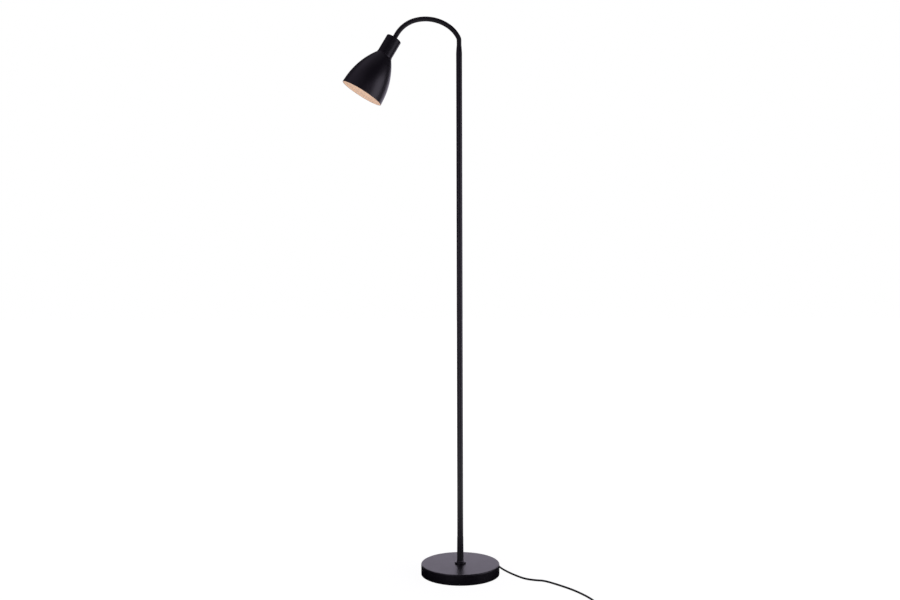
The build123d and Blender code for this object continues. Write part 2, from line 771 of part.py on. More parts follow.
def make_cord():
    keep("floor_cord", tube(floor_route, "floor_cord"))
    coil, lead_in, lead_out = make_coil()
    keep("cord_coil", coil)

    switch_end = switch_centre_x - switch_length / 2 - boot_length
    cord_y = switch_centre_y
    link_route = [
        (switch_end, cord_y, switch_split_height),
        (switch_end - cord_to_coil_run, cord_y, switch_split_height),
        (lead_in.X + cord_to_coil_run, cord_y, lead_in.Z),
        (lead_in.X, cord_y, lead_in.Z),
    ]
    keep("cord_to_coil", tube(link_route, "cord_to_coil"))
    tail_route = [
        (lead_out.X, plug_y, lead_out.Z),
        (lead_out.X + cord_to_plug_run, plug_y, lead_out.Z),
        (plug_boot_start - cord_to_plug_run, plug_y, plug_cord_height),
        (plug_boot_start, plug_y, plug_cord_height),
    ]
    keep("cord_to_plug", tube(tail_route, "cord_to_plug"))

    # The tie: a flat band round the turns on the coil's -X side.
    inner = coil_outer_radius - coil_pitch * coil_half_turns - cord_radius
    width = coil_outer_radius + cord_radius - inner + 2 * casting_gap
    height = coil_layer + 2 * cord_radius + 2 * (coil_bottom - tie_band)
    section = RectangleRounded(width + 2 * tie_band, height + 2 * tie_band, cord_radius)
    section -= RectangleRounded(width, height, cord_radius - tie_band)
    middle = (coil_outer_radius + cord_radius + inner) / 2
    band = extrude(Plane.XZ * section, tie_width / 2, both=True)
    keep("coil_tie", Pos(coil_centre_x - middle, coil_centre_y, height / 2 + tie_band) * band)


# ---- foot switch --------------------------------------------------------------------
def switch_shell(low, high, wall=0.0):
    """A block with rounded plan corners, drawn in by a wall."""
    outline = RectangleRounded(
        switch_length - 2 * wall, switch_width - 2 * wall, max(switch_corner_radius - wall, wall)
    )
    return Pos(switch_centre_x, switch_centre_y, low) * extrude(outline, high - low)


def make_switch():
    here = Pos(switch_centre_x, switch_centre_y, 0)
    gland_radius = boot_tip_radius
    gland_across = Plane(origin=(0, 0, switch_split_height), x_dir=(0, 1, 0), z_dir=(1, 0, 0))
    gland_hole = here * (gland_across * rod(gland_radius, -switch_length, switch_length))
    screw_x = switch_length / 2 - switch_wall - 3 * screw_head_radius
    screw_y = switch_width / 2 - switch_wall - 2 * screw_head_radius
    screw_places = Locations((screw_x, -screw_y, 0), (-screw_x, screw_y, 0))

    base = switch_shell(0, switch_split_height)
    base = fillet(base.edges().group_by(Axis.Z)[0], switch_wall / 2)
    base -= switch_shell(switch_wall, switch_split_height, switch_wall)
    screw_boss = rod(screw_head_radius + switch_wall / 2, 0, switch_split_height)
    base += here * screw_places * screw_boss
    base -= here * screw_places * rod(screw_head_radius + casting_gap, 0, switch_wall)
    base -= here * screw_places * rod(screw_radius + casting_gap, 0, switch_split_height)
    base -= gland_hole
    keep("foot_switch_base", base)

    cover = switch_shell(switch_split_height, switch_height)
    cover = fillet(cover.edges().group_by(Axis.Z)[-1], switch_top_fillet)
    hollow = switch_shell(switch_split_height, switch_height - switch_wall, switch_wall)
    cover -= fillet(hollow.edges().group_by(Axis.Z)[-1], switch_top_fillet - switch_wall)
    boss_top = switch_height - switch_wall / 2
    cover += here * screw_places * rod(screw_head_radius + switch_wall / 2, switch_split_height, boss_top)
    pilot_top = switch_height - 2 * switch_wall
    cover -= here * screw_places * rod(screw_radius + thread_clearance, switch_split_height, pilot_top)
    cover -= here * rod(button_radius + button_clearance, switch_split_height, switch_height)
    cover -= gland_hole
    keep("foot_switch_cover", cover)
    screw = Pos(0, 0, switch_wall) * panhead_screw(pilot_top - switch_wall - thread_run_out)
    keep("foot_switch_screws", Compound(children=[*(here * screw_places * screw)]))

    # The button, its return spring and the contact block that it presses.
    flange_top = switch_height - switch_wall - button_clearance
    flange_bottom = flange_top - button_flange_thickness
    button = rod(button_radius, flange_bottom, button_height)
    button = fillet(button.edges().group_by(Axis.Z)[-1], button_flange)
    button += rod(button_radius + button_flange, flange_bottom, flange_top)
    block_top = flange_bottom - button_travel - 2 * button_flange_thickness
    spring_seat = block_top - button_flange_thickness
    keep("foot_switch_button", here * button)
    block = rod(spring_radius + 2 * switch_wall, switch_wall, block_top)
    block -= rod(spring_radius + 2 * spring_wire_radius, spring_seat, block_top)
    keep("foot_switch_contact_block", here * block)
    keep("foot_switch_spring", here * spring_solid(spring_seat, flange_bottom))

    # The two strain reliefs of the switch.
    gland = boot(
        boot_root_radius,
        boot_tip_radius,
        boot_length,
        gland_radius - thread_clearance,
        switch_wall + casting_gap,
        gland_flange_height,
    )
    right = Plane(origin=(switch_length / 2, 0, switch_split_height), x_dir=(0, 1, 0), z_dir=(1, 0, 0))
    left = Plane(origin=(-switch_length / 2, 0, switch_split_height), x_dir=(0, -1, 0), z_dir=(-1, 0, 0))
    keep("foot_switch_boots", Compound(children=[here * (right * gland), here * (left * gland)]))


def spring_solid(low, high):
    """The button's coil spring, between its seat and the button, as one unbroken wire."""
    rise = high - low - 2 * spring_wire_radius
    start_height = low + spring_wire_radius

    def spring_place(turns):
        angle = math.radians(360 * turns)
        outwards = Vector(math.cos(angle), math.sin(angle), 0)
        along = Vector(-math.sin(angle), math.cos(angle), 0)
        place = Vector(0, 0, start_height + rise * turns / spring_curls) + outwards * spring_radius
        way = along * (2 * math.pi * spring_radius)
        if 0 < turns < spring_curls:
            way += Vector(0, 0, rise / spring_curls)
        return place, way.normalized()

    places = [spring_place(count / 4) for count in range(4 * spring_curls + 1)]
    line = []
    for (here, way), (there, next_way) in zip(places, places[1:]):
        line.extend(biarc(here, way, there, next_way))
    start, start_way = places[0]
    print("spring least gap to itself", round(rise / spring_curls - 2 * spring_wire_radius, 3))
    return sweep(Plane(origin=start, z_dir=start_way) * Circle(spring_wire_radius), path=Wire(line))


# ---- plug ---------------------------------------------------------------------------
def make_plug():
    along = Plane(origin=(plug_boot_start, plug_y, plug_cord_height), x_dir=(0, 1, 0), z_dir=(1, 0, 0))
    body_end = boot_length + plug_body_length
    body = extrude(RectangleRounded(plug_width, plug_thickness, plug_thickness * 0.35), plug_body_length)
    body = chamfer(body.edges().group_by(Axis.Z)[0], plug_thickness * 0.2)
    relief = turned((0, 0), (boot_tip_radius, 0), (boot_root_radius, boot_length), (0, boot_length))
    keep("plug_body", along * (relief + Pos(0, 0, boot_length) * body))
    pin = rod(plug_pin_radius, body_end, body_end + plug_pin_length)
    pin = chamfer(pin.edges().group_by(Axis.Z)[-1], plug_pin_radius * 0.4)
    pin_places = Locations((-plug_pin_spacing / 2, 0, 0), (plug_pin_spacing / 2, 0, 0))
    keep("plug_pins", along * Compound(children=[*(pin_places * pin)]))


make_base()
make_pole()
make_neck()
make_head()
make_cord()
make_switch()
make_plug()
print(len(written), "nodes written")
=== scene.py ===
import math

import bmesh
import bpy
from mathutils import Matrix, Vector


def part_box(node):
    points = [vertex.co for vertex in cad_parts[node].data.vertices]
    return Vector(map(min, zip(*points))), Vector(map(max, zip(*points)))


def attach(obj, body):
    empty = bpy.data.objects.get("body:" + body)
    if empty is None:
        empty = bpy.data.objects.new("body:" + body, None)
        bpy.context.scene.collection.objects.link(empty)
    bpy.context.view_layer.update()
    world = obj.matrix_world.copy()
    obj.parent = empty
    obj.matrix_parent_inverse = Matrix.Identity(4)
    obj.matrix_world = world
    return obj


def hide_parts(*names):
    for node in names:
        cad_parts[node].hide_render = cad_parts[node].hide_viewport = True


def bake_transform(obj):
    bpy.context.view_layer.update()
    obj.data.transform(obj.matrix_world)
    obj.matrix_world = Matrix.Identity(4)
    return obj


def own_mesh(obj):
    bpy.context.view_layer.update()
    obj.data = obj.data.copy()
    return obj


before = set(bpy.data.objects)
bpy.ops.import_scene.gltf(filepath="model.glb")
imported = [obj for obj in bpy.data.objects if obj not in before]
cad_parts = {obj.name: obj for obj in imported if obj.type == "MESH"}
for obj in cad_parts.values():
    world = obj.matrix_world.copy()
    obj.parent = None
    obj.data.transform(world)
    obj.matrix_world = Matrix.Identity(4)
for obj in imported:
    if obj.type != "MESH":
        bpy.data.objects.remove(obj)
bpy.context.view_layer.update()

# ---- Camera -------------------------------------------------------------------------
# A normal lens at half the lamp's height, level and square to the neck's plane. It
# stands 26 mm left of the pole and is rolled by a seventh of a degree.
camera_data = bpy.data.cameras.new("camera")
camera_data.sensor_width = 36.0
camera_data.lens = 35.2
camera_data.clip_end = 60.0
camera_roll = 0.14
camera = bpy.data.objects.new("camera", camera_data)
camera.location = (-0.026, -2.366, 0.735)
camera.rotation_euler = (math.radians(90), math.radians(camera_roll), 0)
bpy.context.scene.collection.objects.link(camera)
bpy.context.scene.camera = camera
bpy.context.scene.view_settings.view_transform = "Standard"

# ---- Floor cord ---------------------------------------------------------------------
# Black two-core mains cord with a smooth round jacket. It leaves the back of the base,
# comes round its right side in loose bends and runs forward to the foot switch.


def feed(socket, value):
    """Links another socket to a socket, or sets it to a number or a colour."""
    if isinstance(value, bpy.types.NodeSocket):
        socket.id_data.links.new(value, socket)
    elif isinstance(value, tuple):
        socket.default_value = (*value, 1)
    else:
        socket.default_value = value


def noise_field(nodes, scale, detail=3.0):
    """A noise texture in the object's own metres."""
    noise = nodes.new("ShaderNodeTexNoise")
    feed(noise.inputs["Scale"], scale)
    feed(noise.inputs["Detail"], detail)
    feed(noise.inputs["Vector"], nodes.new("ShaderNodeTexCoord").outputs["Object"])
    return noise.outputs["Fac"]


def blend_of(nodes, factor, first, second):
    """The colour between two colours or sockets, at a factor socket."""
    mix = nodes.new("ShaderNodeMix")
    mix.data_type = "RGBA"
    feed(mix.inputs[0], factor)
    feed(mix.inputs[6], first)
    feed(mix.inputs[7], second)
    return mix.outputs[2]


def worked(nodes, operation, *values):
    """The result of one sum on sockets and numbers."""
    made = nodes.new("ShaderNodeMath")
    made.operation = operation
    for socket, value in zip(made.inputs, values):
        feed(socket, value)
    return made.outputs[0]


def product(nodes, *values):
    """Sockets and numbers multiplied together."""
    result = values[0]
    for value in values[1:]:
        result = worked(nodes, "MULTIPLY", result, value)
    return result


def ramp(nodes, value, start, end, low=0.0, high=1.0, curve="LINEAR"):
    """A value that is low while a socket is at the start and high once it is at the end."""
    made = nodes.new("ShaderNodeMapRange")
    made.interpolation_type = curve
    rising = start < end
    feed(made.inputs["From Min"], min(start, end))
    feed(made.inputs["From Max"], max(start, end))
    feed(made.inputs["To Min"], low if rising else high)
    feed(made.inputs["To Max"], high if rising else low)
    feed(made.inputs["Value"], value)
    return made.outputs[0]


def surface_group():
    """The grain and dust that every finish shares, as one shader node group."""
    group = bpy.data.node_groups.new("grain and dust", "ShaderNodeTree")
    for name, kind, value in (
        ("Colour", "NodeSocketColor", (0.5, 0.5, 0.5, 1)),
        ("Dust colour", "NodeSocketColor", (0.4, 0.38, 0.35, 1)),
        ("Dust", "NodeSocketFloat", 0.0),
        ("Roughness", "NodeSocketFloat", 0.5),
        ("Roughness spread", "NodeSocketFloat", 0.1),
        ("Grain scale", "NodeSocketFloat", 2000.0),
    ):
        made = group.interface.new_socket(name, in_out="INPUT", socket_type=kind)
        made.default_value = value
    for name, kind in (
        ("Colour", "NodeSocketColor"),
        ("Roughness", "NodeSocketFloat"),
        ("Height", "NodeSocketFloat"),
    ):
        group.interface.new_socket(name, in_out="OUTPUT", socket_type=kind)

    nodes = group.nodes
    given = nodes.new("NodeGroupInput").outputs
    result = nodes.new("NodeGroupOutput").inputs
    feed(result["Height"], noise_field(nodes, given["Grain scale"], detail=2.0))

    # the roughness wanders a little either side of its own value
    patches = worked(nodes, "SUBTRACT", noise_field(nodes, scale=34.0, detail=5.0), 0.5)
    uneven_gloss = worked(
        nodes, "MULTIPLY_ADD", patches, given["Roughness spread"], given["Roughness"]
    )
    feed(result["Roughness"], uneven_gloss)

    # dust settles on faces that look up, in uneven patches
    facing = nodes.new("ShaderNodeSeparateXYZ")
    feed(facing.inputs[0], nodes.new("ShaderNodeNewGeometry").outputs["Normal"])
    settled = ramp(nodes, facing.outputs["Z"], start=0.55, end=1.0)
    speckle = ramp(nodes, noise_field(nodes, scale=420.0, detail=6.0), start=0.42, end=0.68)
    dust = product(nodes, settled, speckle, given["Dust"])
    feed(result["Colour"], blend_of(nodes, dust, given["Colour"], given["Dust colour"]))
    return group


grain_and_dust = surface_group()


def finish_of(name, colour, roughness, spread=0.1, grain=2000.0, bump=0.1, depth=0.0002,
              dust=0.0, metallic=0.0, ior=1.45, mottle=None):
    """A material: a Principled shader fed by the shared grain and dust group."""
    made = bpy.data.materials.new(name)
    made.use_nodes = True
    made.diffuse_color = (*colour, 1)
    nodes = made.node_tree.nodes
    shader = nodes["Principled BSDF"].inputs
    feed(shader["Metallic"], metallic)
    feed(shader["IOR"], ior)
    group = nodes.new("ShaderNodeGroup")
    group.node_tree = grain_and_dust
    feed(group.inputs["Colour"], colour)
    feed(group.inputs["Dust"], dust)
    feed(group.inputs["Roughness"], roughness)
    feed(group.inputs["Roughness spread"], spread)
    feed(group.inputs["Grain scale"], grain)
    if mottle:
        # two close tones in soft clouds
        cloud_scale, second_tone = mottle
        clouds = noise_field(nodes, cloud_scale, detail=4.0)
        feed(group.inputs["Colour"], blend_of(nodes, clouds, colour, second_tone))
    feed(shader["Base Color"], group.outputs["Colour"])
    feed(shader["Roughness"], group.outputs["Roughness"])
    bumps = nodes.new("ShaderNodeBump")
    feed(bumps.inputs["Strength"], bump)
    feed(bumps.inputs["Distance"], depth)
    feed(bumps.inputs["Height"], group.outputs["Height"])
    feed(shader["Normal"], bumps.outputs["Normal"])
    return made


def dress(node, finish):
    """Gives a CAD piece that stays in view its finish."""
    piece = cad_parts[node]
    piece.data.materials.clear()
    piece.data.materials.append(finish)


jacket = finish_of("black cord jacket", (0.0040, 0.0036, 0.0046), 0.5, grain=1400.0, ior=1.4,
                   mottle=(60.0, (0.0062, 0.0056, 0.0068)))
cord_thickness = 0.005
cord_radius = cord_thickness / 2


def laid_cord(name, points, per_point):
    """A round cord along a smooth line that has these points as its control points."""
    curve = bpy.data.curves.new(name, "CURVE")
    curve.dimensions = "3D"
    curve.resolution_u = per_point
    curve.bevel_depth = cord_radius
    curve.bevel_resolution = 5
    curve.use_fill_caps = True
    line = curve.splines.new("NURBS")
    line.points.add(len(points) - 1)
    for point, place in zip(line.points, points):
        point.co = (*place, 1)
    line.order_u = 3
    line.use_endpoint_u = True
    curve.materials.append(jacket)
    cord = bpy.data.objects.new(name, curve)
    bpy.context.scene.collection.objects.link(cord)
    return cord


gland_height = 0.0086
switch_line = -0.3
switch_height = 0.0076
floor_cord_points = [
    (0, 0.127, gland_height),
    (0, 0.147, gland_height),
    (0.0125, 0.1635, 0.0065),
    (0.036, 0.169, 0.004),
    (0.060, 0.156, cord_radius),
    (0.086, 0.136, cord_radius),
    (0.097, 0.104, cord_radius),
    (0.103, 0.070, cord_radius),
    (0.111, 0.038, cord_radius),
    (0.126, 0.007, cord_radius),
    (0.144, -0.023, cord_radius),
    (0.168, -0.055, cord_radius),
    (0.196, -0.068, cord_radius),
    (0.218, -0.071, cord_radius),
    (0.248, -0.102, cord_radius),
    (0.283, -0.144, cord_radius),
    (0.309, -0.190, cord_radius),
    (0.323, -0.226, cord_radius),
    (0.328, -0.258, cord_radius),
    (0.317, -0.286, 0.0035),
    (0.290, switch_line, switch_height),
    (0.262, switch_line, switch_height),
]
floor_cord = laid_cord("mains_cord", floor_cord_points, per_point=12)
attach(floor_cord, "stand")
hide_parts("floor_cord")

# ---- Put-away cord ------------------------------------------------------------------
# The rest of the cord, wound by hand into a flat round coil of two layers beyond the
# foot switch. It is held by a hook-and-loop tie and ends in the plug.
coil_outer = 0.0389375
coil_centre = (0.095, switch_line - coil_outer)
coil_pitch = 0.0055
coil_layer = 0.0055
coil_low = 0.0032
coil_high = coil_low + coil_layer
coil_reversal = 3.25
climb_start, climb_turns = 3.0, 0.5
points_in_turn = 12


def coil_point(turns):
    """A control point of the winding: in for three turns, up a layer, and out again."""
    wound = turns if turns <= coil_reversal else 2 * coil_reversal - turns
    radius = (coil_outer - coil_pitch * wound) / math.cos(math.pi / points_in_turn)
    climb = min(1.0, max(0.0, (turns - climb_start) / climb_turns))
    angle = math.radians(90 + 360 * turns)
    return (
        coil_centre[0] + radius * math.cos(angle),
        coil_centre[1] + radius * math.sin(angle),
        coil_low + coil_layer * climb,
    )


coil_points = [
    (0.134, switch_line, switch_height),
    (0.124, switch_line, switch_height),
    (0.110, switch_line, coil_low),
    (0.100, switch_line, coil_low),
]
for step in range(round(2 * coil_reversal * points_in_turn)):
    coil_points.append(coil_point((step + 0.5) / points_in_turn))
plug_line = coil_centre[1] - coil_outer
plug_height = 0.00685
coil_points += [
    (0.100, plug_line, coil_high),
    (0.112, plug_line, coil_high),
    (0.128, plug_line, plug_height),
    (0.140, plug_line, plug_height),
]
coil = laid_cord("coiled_cord", coil_points, per_point=4)
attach(coil, "stand")
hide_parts("cord_to_coil", "cord_coil", "cord_to_plug")

# ---- Coil tie -----------------------------------------------------------------------
# A black woven hook-and-loop strap, closed round the turns on the coil's left side. Its
# free end laps over the band on top and down its outer side.
arc_steps = 8
arc_margin = 0.0003


def rounded_outline(corners):
    """Points of an outline from (x, y, corner radius), with each corner drawn as an arc.

    A point just before and after each arc keeps the shading of the flats even.
    """
    points = []
    for index, (x, y, radius) in enumerate(corners):
        if not radius or index in (0, len(corners) - 1):
            points.append((x, y))
            continue
        here = Vector((x, y))
        way_back = Vector(corners[index - 1][:2]) - here
        way_on = Vector(corners[index + 1][:2]) - here
        before, after = way_back.normalized(), way_on.normalized()
        half = before.angle(after) / 2
        reach = radius / math.tan(half)
        centre = here + (before + after).normalized() * (radius / math.sin(half))
        start = here + before * reach - centre
        turn = math.pi - 2 * half
        side = 1 if before.x * after.y - before.y * after.x < 0 else -1
        if way_back.length > reach + 4 * arc_margin:
            points.append(tuple(here + before * (reach + arc_margin)))
        for step in range(arc_steps + 1):
            angle = side * turn * step / arc_steps
            arm = Vector((
                start.x * math.cos(angle) - start.y * math.sin(angle),
                start.x * math.sin(angle) + start.y * math.cos(angle),
            ))
            points.append(tuple(centre + arm))
        if way_on.length > reach + 4 * arc_margin:
            points.append(tuple(here + after * (reach + arc_margin)))
    return points


def skin(shape, rings, finish_number=0):
    """Adds smooth faces between each ring of points and the next."""
    for under, over in zip(rings, rings[1:]):
        for step in range(len(under)):
            after = (step + 1) % len(under)
            face = shape.faces.new((under[step], under[after], over[after], over[step]))
            face.smooth = True
            face.material_index = finish_number


def piece_from(name, shape, finishes, crease=None, place=None):
    """Makes a shape into a piece. Edges sharper than the crease, in degrees, look sharp."""
    mesh = bpy.data.meshes.new(name)
    shape.to_mesh(mesh)
    shape.free()
    if crease is not None:
        mesh.set_sharp_from_angle(angle=math.radians(crease))
    for finish in finishes:
        mesh.materials.append(finish)
    piece = bpy.data.objects.new(name, mesh)
    if place is not None:
        piece.matrix_world = place
    bpy.context.scene.collection.objects.link(piece)
    return piece


tie_weave = finish_of("tie weave", (0.016, 0.016, 0.019), 0.85, grain=5200.0, bump=0.7,
                      depth=0.0003, mottle=(900.0, (0.03, 0.03, 0.034)))
tie_wide = 0.006
tie_band = 0.0006
tie_corner = 0.002
tie_slack = 0.0003
tie_inner = coil_outer - coil_pitch * coil_reversal - cord_radius
tie_outer = coil_outer + cord_radius
tie_middle = (tie_inner + tie_outer) / 2
tie_half = (tie_outer - tie_inner) / 2 + tie_slack
tie_height = coil_layer + cord_thickness + 0.0002
lap = tie_band + 0.00005
# where the band starts and ends on top of the turns, and where the lap over it starts
band_start, band_end, lap_start = 0.0005, 0.004, 0.0015
lap_end = 0.003


def tie_corners(grow, is_lap):
    """Corners of the strap from its top: once round the turns, or the lap's one side."""
    low, high = tie_band - grow, tie_band + tie_height + grow
    side = tie_half + grow
    top_corner = (-side, high, tie_corner + grow)
    if is_lap:
        return [(lap_start, high, 0), top_corner, (-side, low + lap_end, 0)]
    return [
        (band_start, high, 0),
        top_corner,
        (-side, low, tie_corner),
        (side, low, tie_corner),
        (side, high, tie_corner),
        (band_end, high, 0),
    ]


# the band's cross-section, in shares of its thickness and width, with soft side edges
band_faces = 0.02
band_section = ((0, -0.5), (0, 0.5), (0.5, 0.53), (1, 0.5), (1, -0.5), (0.5, -0.53))
tie_line = rounded_outline(tie_corners(0.0, False)) + rounded_outline(tie_corners(lap, True))
tie_shape = bmesh.new()
tie_rings = []
for count, (x, z) in enumerate(tie_line):
    before = Vector(tie_line[max(count - 1, 0)])
    after = Vector(tie_line[min(count + 1, len(tie_line) - 1)])
    way = (after - before).normalized()
    outwards = Vector((way.y, -way.x))
    ring = []
    for through, across in band_section:
        rise = tie_band * (band_faces + through * (1 - 2 * band_faces))
        spot = Vector((x, z)) + outwards * rise
        ring.append(tie_shape.verts.new((
            coil_centre[0] - tie_middle + spot.x, coil_centre[1] + tie_wide * across, spot.y
        )))
    tie_rings.append(ring)
skin(tie_shape, tie_rings)
for end in (tie_rings[0], tie_rings[-1]):
    tie_shape.faces.new(end)
bmesh.ops.recalc_face_normals(tie_shape, faces=tie_shape.faces)
tie = piece_from("hook_and_loop_tie", tie_shape, [tie_weave], crease=50)
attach(tie, "stand")
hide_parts("coil_tie")

# ---- Floor and light ----------------------------------------------------------------
# A seamless white studio floor, a low lit backdrop behind the lamp, a large soft box on
# the right, a strip on the left and a weak overhead box. The rest of the room is dark.
floor_half = 30.0
floor_level = -0.0004
floor_mesh = bpy.data.meshes.new("studio_floor")
floor_mesh.from_pydata(
    [
        (x * floor_half, y * floor_half, floor_level)
        for x, y in ((-1, -1), (1, -1), (1, 1), (-1, 1))
    ],
    [],
    [(0, 1, 2, 3)],
)
floor = bpy.data.objects.new("studio_floor", floor_mesh)
bpy.context.scene.collection.objects.link(floor)
floor_paint = bpy.data.materials.new("studio floor paint")
floor_paint.use_nodes = True
floor_nodes = floor_paint.node_tree.nodes
floor_shader = floor_nodes["Principled BSDF"]
feed(floor_shader.inputs["Roughness"], 0.9)
feed(floor_shader.inputs["Specular IOR Level"], 0.1)
floor_clouds = noise_field(floor_nodes, scale=1.5)
floor_tone = blend_of(floor_nodes, floor_clouds, (0.93, 0.93, 0.93), (0.90, 0.90, 0.90))
feed(floor_shader.inputs["Base Color"], floor_tone)
studio_white = 1.0
overexposed = floor_nodes.new("ShaderNodeEmission")
feed(overexposed.inputs["Strength"], 1.12 * studio_white)
from_pole = floor_nodes.new("ShaderNodeVectorMath")
from_pole.operation = "LENGTH"
feed(from_pole.inputs[0], floor_nodes.new("ShaderNodeTexCoord").outputs["Object"])
distance = from_pole.outputs["Value"]
ray = floor_nodes.new("ShaderNodeLightPath").outputs


def mixed_shader(share, first, second):
    """The floor's shader between two shaders, at a share socket."""
    made = floor_nodes.new("ShaderNodeMixShader")
    for socket, value in zip(made.inputs, (share, first, second)):
        feed(socket, value)
    return made.outputs[0]


# the camera sees the floor overexposed, a little less so near the base
near_base = ramp(floor_nodes, distance, start=0.1, end=2.6, low=0.86)
white_floor = product(floor_nodes, near_base, ray["Is Camera Ray"])
# painted reflection: in reflections only, a ring of the floor a stride away from the base glows
# white and lightens the foot of the pole
painted_reflection_ring = product(
    floor_nodes,
    ramp(floor_nodes, distance, start=0.5, end=0.7),
    ramp(floor_nodes, distance, start=1.1, end=1.8, low=0.9, high=0.0),
)
white_share = worked(floor_nodes, "MULTIPLY_ADD", painted_reflection_ring, ray["Is Glossy Ray"], white_floor)
lit_floor = mixed_shader(white_share, floor_shader.outputs[0], overexposed.outputs[0])
# painted shade: round the base the floor looks dark in reflections only, so that the base's
# side mirrors no white floor
painted_dark_floor = floor_nodes.new("ShaderNodeBsdfDiffuse")
feed(painted_dark_floor.inputs["Color"], (0.02, 0.02, 0.024))
painted_dark_edge = ramp(floor_nodes, distance, start=0.28, end=0.55, low=1.0, high=0.0)
painted_dark_share = product(floor_nodes, painted_dark_edge, ray["Is Glossy Ray"])
floor_surface = mixed_shader(painted_dark_share, lit_floor, painted_dark_floor.outputs[0])
feed(floor_nodes["Material Output"].inputs["Surface"], floor_surface)
floor.data.materials.append(floor_paint)

world = bpy.data.worlds.new("studio")
bpy.context.scene.world = world
world.use_nodes = True
room_nodes = world.node_tree.nodes
background = room_nodes["Background"].inputs
feed(background["Strength"], 1.0)
way_out = room_nodes.new("ShaderNodeSeparateXYZ")
feed(way_out.inputs[0], room_nodes.new("ShaderNodeTexCoord").outputs["Generated"])


def side_of_room(axis, start, end):
    """0 to 1 over the part of the room between two values of a direction's coordinate."""
    return ramp(room_nodes, way_out.outputs[axis], start, end, curve="SMOOTHSTEP")


# the left of the room is grey from shoulder height up, its front is grey near the floor,
# its back is dark, and the camera sees it all as plain white
wall_grey = 0.23
front_grey = 0.95
room_dark = 0.04
room_tint = (1.12, 0.95, 1.30)
grey_wall = product(
    room_nodes,
    side_of_room("X", 0.2, -0.6),
    side_of_room("Y", 0.55, -0.1),
    side_of_room("Z", -0.1, 0.5),
    wall_grey,
)
grey_front = product(
    room_nodes, side_of_room("Y", 0.0, -0.55), side_of_room("Z", 0.17, -0.08), front_grey
)
greys = worked(room_nodes, "ADD", grey_wall, grey_front)
room_level = worked(room_nodes, "ADD", greys, room_dark)
room_tone = blend_of(room_nodes, room_level, (0.0, 0.0, 0.0), room_tint)
camera_ray = room_nodes.new("ShaderNodeLightPath").outputs["Is Camera Ray"]
feed(background["Color"], blend_of(room_nodes, camera_ray, room_tone, (studio_white,) * 3))

light_tint = (1.0, 0.92, 1.12)


def soft_box(name, place, target, wide, high, power):
    """A rectangular studio light that points at a place and stays out of the picture."""
    light = bpy.data.lights.new(name, "AREA")
    light.shape = "RECTANGLE"
    light.size = wide
    light.size_y = high
    light.energy = power
    light.color = light_tint
    box = bpy.data.objects.new(name, light)
    box.location = place
    aim = Vector(target) - Vector(place)
    box.rotation_euler = aim.to_track_quat("-Z", "Y").to_euler()
    box.visible_camera = False
    bpy.context.scene.collection.objects.link(box)


soft_box("overhead_box", (0.2, 0.3, 4.2), (0, 0, 0), wide=4.0, high=4.0, power=8)
soft_box("right_box", (1.95, -0.55, 0.9), (-0.1, 0, 0.9), wide=1.9, high=1.7, power=13.5)
soft_box("left_strip", (-1.0, -2.0, 0.7), (0, 0, 0.7), wide=0.5, high=1.4, power=3.4)
soft_box("low_backdrop", (1.0, 6.0, 1.6), (1.0, 0, 1.6), wide=10.0, high=2.9, power=100)

# ---- Base cover ---------------------------------------------------------------------
# A drawn steel dish over the cast weight, powder coated in satin black. The edge is
# drawn to a small radius, and the cord's gland passes through its back.


def round_point(radius, share, height=0.0):
    """A point at a share of a full turn round local Z."""
    angle = 2 * math.pi * share
    return Vector((radius * math.cos(angle), radius * math.sin(angle), height))


def spun(name, outline, around, finishes, place=None, split=None):
    """A piece spun about local Z from (radius, height) points, ending on the axis or in a loop.

    From the outline's point number split on, it has the second finish.
    """
    shape = bmesh.new()
    rings = []
    for radius, height in outline:
        on_axis = radius < 1e-6
        rings.append([
            shape.verts.new(round_point(radius, step / around, height))
            for step in range(1 if on_axis else around)
        ])
    for count, (low, high) in enumerate(zip(rings, rings[1:])):
        for step in range(around):
            after = (step + 1) % around
            corners = [
                low[step % len(low)],
                low[after % len(low)],
                high[after % len(high)],
                high[step % len(high)],
            ]
            corners = list(dict.fromkeys(corners))
            if len(corners) > 2:
                face = shape.faces.new(corners)
                face.smooth = True
                if split is not None and count >= split:
                    face.material_index = 1
    bmesh.ops.recalc_face_normals(shape, faces=shape.faces)
    return piece_from(name, shape, finishes, crease=38, place=place)


powder_coat = finish_of("satin black powder coat", (0.0040, 0.0030, 0.0056), 0.36, spread=0.05,
                        grain=2600.0, bump=0.05, depth=0.0001, dust=0.012, ior=1.5)
base_radius = 0.105
base_top = 0.028
base_edge = 0.0025
cover_lift = 0.0005
cover_sheet = 0.001
stem_hole = 0.0053
base_cover = spun(
    "base_dish",
    rounded_outline([
        (stem_hole, base_top, 0),
        (base_radius, base_top, base_edge),
        (base_radius, cover_lift, 0),
        (base_radius - cover_sheet, cover_lift, 0),
        (base_radius - cover_sheet, base_top - cover_sheet, base_edge - cover_sheet),
        (stem_hole, base_top - cover_sheet, 0),
    ]) + [(stem_hole, base_top)],
    around=192,
    finishes=[powder_coat],
)
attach(base_cover, "stand")
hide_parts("base_cover")

